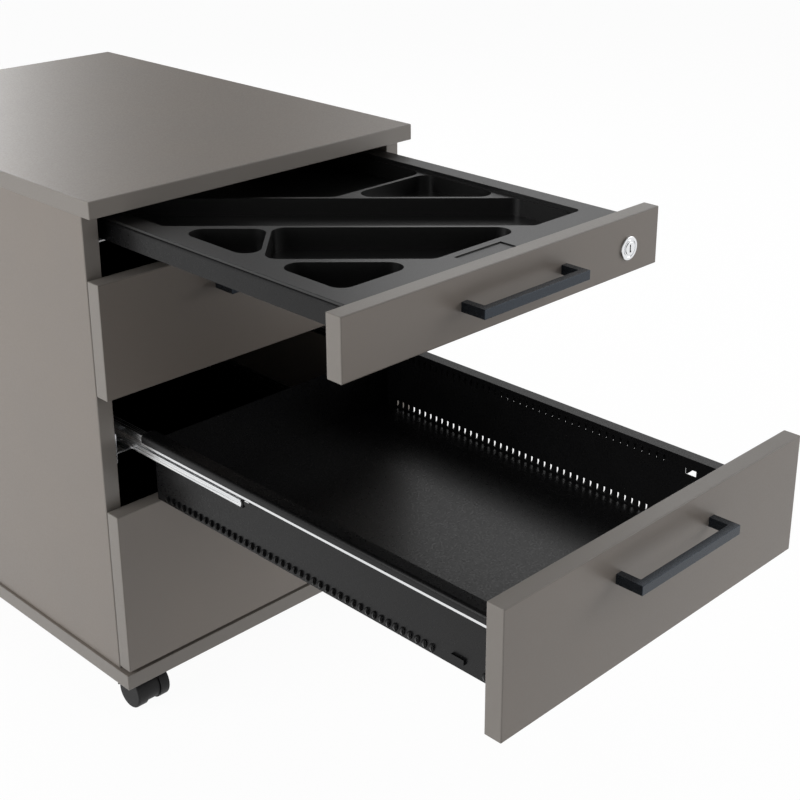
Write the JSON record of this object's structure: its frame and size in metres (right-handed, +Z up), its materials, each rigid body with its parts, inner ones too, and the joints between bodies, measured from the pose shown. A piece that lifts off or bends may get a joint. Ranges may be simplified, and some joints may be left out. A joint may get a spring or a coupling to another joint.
{
  "type": "mobile drawer pedestal",
  "caption": "Low laminated-board pedestal on twin-wheel castors with a pencil drawer and steel drawers on telescopic rails, bow handles and a central lock.",
  "frame": {"origin": "on the floor, under the middle of the top panel", "axes": "+Z up, the drawers open towards -Y, +X to the right seen from the front"},
  "size_m": [0.43, 1.152, 0.599],
  "materials": {
    "laminated_board": "fine-textured melamine laminate, taupe grey",
    "beech": "raw turned wood",
    "zinc_plated_steel": "bright zinc plating",
    "coated_handle": "dark metallic coating",
    "coated_steel": "satin anthracite powder coating",
    "tray_plastic": "fine-grained dark moulding",
    "lock_chrome": "polished",
    "castor_plate_steel": "black coating",
    "castor_plastic": "black moulded nylon"
  },
  "bodies": {
    "carcass": {"back_panel": "laminated_board", "base_panel": "laminated_board", "cam_bolts": "zinc_plated_steel", "cam_locks": "zinc_plated_steel", "castor_plates": "castor_plate_steel", "castor_screws": "zinc_plated_steel", "dowels": "beech", "left_fixed_rails": "zinc_plated_steel", "left_side_panel": "laminated_board", "lock_bar_guides": "zinc_plated_steel", "panel_screws": "zinc_plated_steel", "right_fixed_rails": "zinc_plated_steel", "right_side_panel": "laminated_board", "top_panel": "laminated_board"},
    "lock_bar": {"lock_bar": "zinc_plated_steel"},
    "pencil_drawer": {"pencil_drawer_rails": "zinc_plated_steel", "pencil_frame": "coated_steel", "pencil_front": "laminated_board", "pencil_handle": "coated_handle", "pencil_lock_housing": "lock_chrome", "pencil_screws": "zinc_plated_steel", "pencil_tray": "tray_plastic"},
    "pencil_slides": {"pencil_mid_rails": "zinc_plated_steel"},
    "upper_drawer": {"upper_box": "coated_steel", "upper_drawer_rails": "zinc_plated_steel", "upper_front": "laminated_board", "upper_handle": "coated_handle", "upper_screws": "zinc_plated_steel"},
    "upper_slides": {"upper_mid_rails": "zinc_plated_steel"},
    "middle_drawer": {"middle_box": "coated_steel", "middle_drawer_rails": "zinc_plated_steel", "middle_front": "laminated_board", "middle_handle": "coated_handle", "middle_screws": "zinc_plated_steel"},
    "middle_slides": {"middle_mid_rails": "zinc_plated_steel"},
    "lower_drawer": {"lower_box": "coated_steel", "lower_drawer_rails": "zinc_plated_steel", "lower_front": "laminated_board", "lower_handle": "coated_handle", "lower_screws": "zinc_plated_steel"},
    "lower_slides": {"lower_mid_rails": "zinc_plated_steel"},
    "pencil_lock": {"pencil_lock_core": "lock_chrome", "pencil_lock_rod": "zinc_plated_steel"},
    "castor_front_left": {"castor_frame_front_left": "castor_plastic", "castor_axle_front_left": "zinc_plated_steel"},
    "wheel_front_left_l": {"castor_wheel_front_left_l": "castor_plastic"},
    "wheel_front_left_r": {"castor_wheel_front_left_r": "castor_plastic"},
    "castor_front_right": {"castor_frame_front_right": "castor_plastic", "castor_axle_front_right": "zinc_plated_steel"},
    "wheel_front_right_l": {"castor_wheel_front_right_l": "castor_plastic"},
    "wheel_front_right_r": {"castor_wheel_front_right_r": "castor_plastic"},
    "castor_rear_left": {"castor_frame_rear_left": "castor_plastic", "castor_axle_rear_left": "zinc_plated_steel"},
    "wheel_rear_left_l": {"castor_wheel_rear_left_l": "castor_plastic"},
    "wheel_rear_left_r": {"castor_wheel_rear_left_r": "castor_plastic"},
    "castor_rear_right": {"castor_frame_rear_right": "castor_plastic", "castor_axle_rear_right": "zinc_plated_steel"},
    "wheel_rear_right_l": {"castor_wheel_rear_right_l": "castor_plastic"},
    "wheel_rear_right_r": {"castor_wheel_rear_right_r": "castor_plastic"}
  },
  "joints": [
    {"name": "drawer_pencil", "type": "slide", "parent": "carcass", "child": "pencil_drawer", "axis": [0, -1, 0], "range_m": [-0.3465, 0.0335]},
    {"name": "drawer_upper", "type": "slide", "parent": "carcass", "child": "upper_drawer", "axis": [0, -1, 0], "range_m": [0, 0.5245]},
    {"name": "drawer_middle", "type": "slide", "parent": "carcass", "child": "middle_drawer", "axis": [0, -1, 0], "range_m": [-0.5245, 0]},
    {"name": "drawer_lower", "type": "slide", "parent": "carcass", "child": "lower_drawer", "axis": [0, -1, 0], "range_m": [0, 0.5245]},
    {"name": "slides_pencil", "type": "slide", "parent": "carcass", "child": "pencil_slides", "axis": [0, -1, 0], "range_m": [-0.17325, 0.01675]},
    {"name": "slides_upper", "type": "slide", "parent": "carcass", "child": "upper_slides", "axis": [0, -1, 0], "range_m": [0, 0.26225]},
    {"name": "slides_middle", "type": "slide", "parent": "carcass", "child": "middle_slides", "axis": [0, -1, 0], "range_m": [-0.26225, 0]},
    {"name": "slides_lower", "type": "slide", "parent": "carcass", "child": "lower_slides", "axis": [0, -1, 0], "range_m": [0, 0.26225]},
    {"name": "lock_turn", "type": "hinge", "parent": "pencil_drawer", "child": "pencil_lock", "pos_m": [0.165, -0.6465, 0.5449], "axis": [0, 1, 0], "range_deg": [0, 90]},
    {"name": "lock_bar_lift", "type": "slide", "parent": "carcass", "child": "lock_bar", "axis": [0, 0, 1], "range_m": [0, 0.009]},
    {"name": "swivel_front_left", "type": "hinge", "parent": "carcass", "child": "castor_front_left", "pos_m": [-0.169, -0.243, 0.0464], "axis": [0, 0, 1], "continuous": true},
    {"name": "swivel_front_right", "type": "hinge", "parent": "carcass", "child": "castor_front_right", "pos_m": [0.169, -0.243, 0.0464], "axis": [0, 0, 1], "continuous": true},
    {"name": "swivel_rear_left", "type": "hinge", "parent": "carcass", "child": "castor_rear_left", "pos_m": [-0.169, 0.243, 0.0464], "axis": [0, 0, 1], "continuous": true},
    {"name": "swivel_rear_right", "type": "hinge", "parent": "carcass", "child": "castor_rear_right", "pos_m": [0.169, 0.243, 0.0464], "axis": [0, 0, 1], "continuous": true},
    {"name": "wheel_spin_front_left_l", "type": "hinge", "parent": "castor_front_left", "child": "wheel_front_left_l", "pos_m": [-0.18375, -0.2605, 0.019], "axis": [1, 0, 0], "continuous": true},
    {"name": "wheel_spin_front_left_r", "type": "hinge", "parent": "castor_front_left", "child": "wheel_front_left_r", "pos_m": [-0.15425, -0.2605, 0.019], "axis": [1, 0, 0], "continuous": true},
    {"name": "wheel_spin_front_right_l", "type": "hinge", "parent": "castor_front_right", "child": "wheel_front_right_l", "pos_m": [0.15425, -0.2605, 0.019], "axis": [1, 0, 0], "continuous": true},
    {"name": "wheel_spin_front_right_r", "type": "hinge", "parent": "castor_front_right", "child": "wheel_front_right_r", "pos_m": [0.18375, -0.2605, 0.019], "axis": [1, 0, 0], "continuous": true},
    {"name": "wheel_spin_rear_left_l", "type": "hinge", "parent": "castor_rear_left", "child": "wheel_rear_left_l", "pos_m": [-0.18375, 0.2255, 0.019], "axis": [1, 0, 0], "continuous": true},
    {"name": "wheel_spin_rear_left_r", "type": "hinge", "parent": "castor_rear_left", "child": "wheel_rear_left_r", "pos_m": [-0.15425, 0.2255, 0.019], "axis": [1, 0, 0], "continuous": true},
    {"name": "wheel_spin_rear_right_l", "type": "hinge", "parent": "castor_rear_right", "child": "wheel_rear_right_l", "pos_m": [0.15425, 0.2255, 0.019], "axis": [1, 0, 0], "continuous": true},
    {"name": "wheel_spin_rear_right_r", "type": "hinge", "parent": "castor_rear_right", "child": "wheel_rear_right_r", "pos_m": [0.18375, 0.2255, 0.019], "axis": [1, 0, 0], "continuous": true}
  ],
  "couplings": [
    {"joint": "slides_pencil", "follows": "drawer_pencil", "ratio": 0.5},
    {"joint": "slides_upper", "follows": "drawer_upper", "ratio": 0.5},
    {"joint": "slides_middle", "follows": "drawer_middle", "ratio": 0.5},
    {"joint": "slides_lower", "follows": "drawer_lower", "ratio": 0.5}
  ]
}
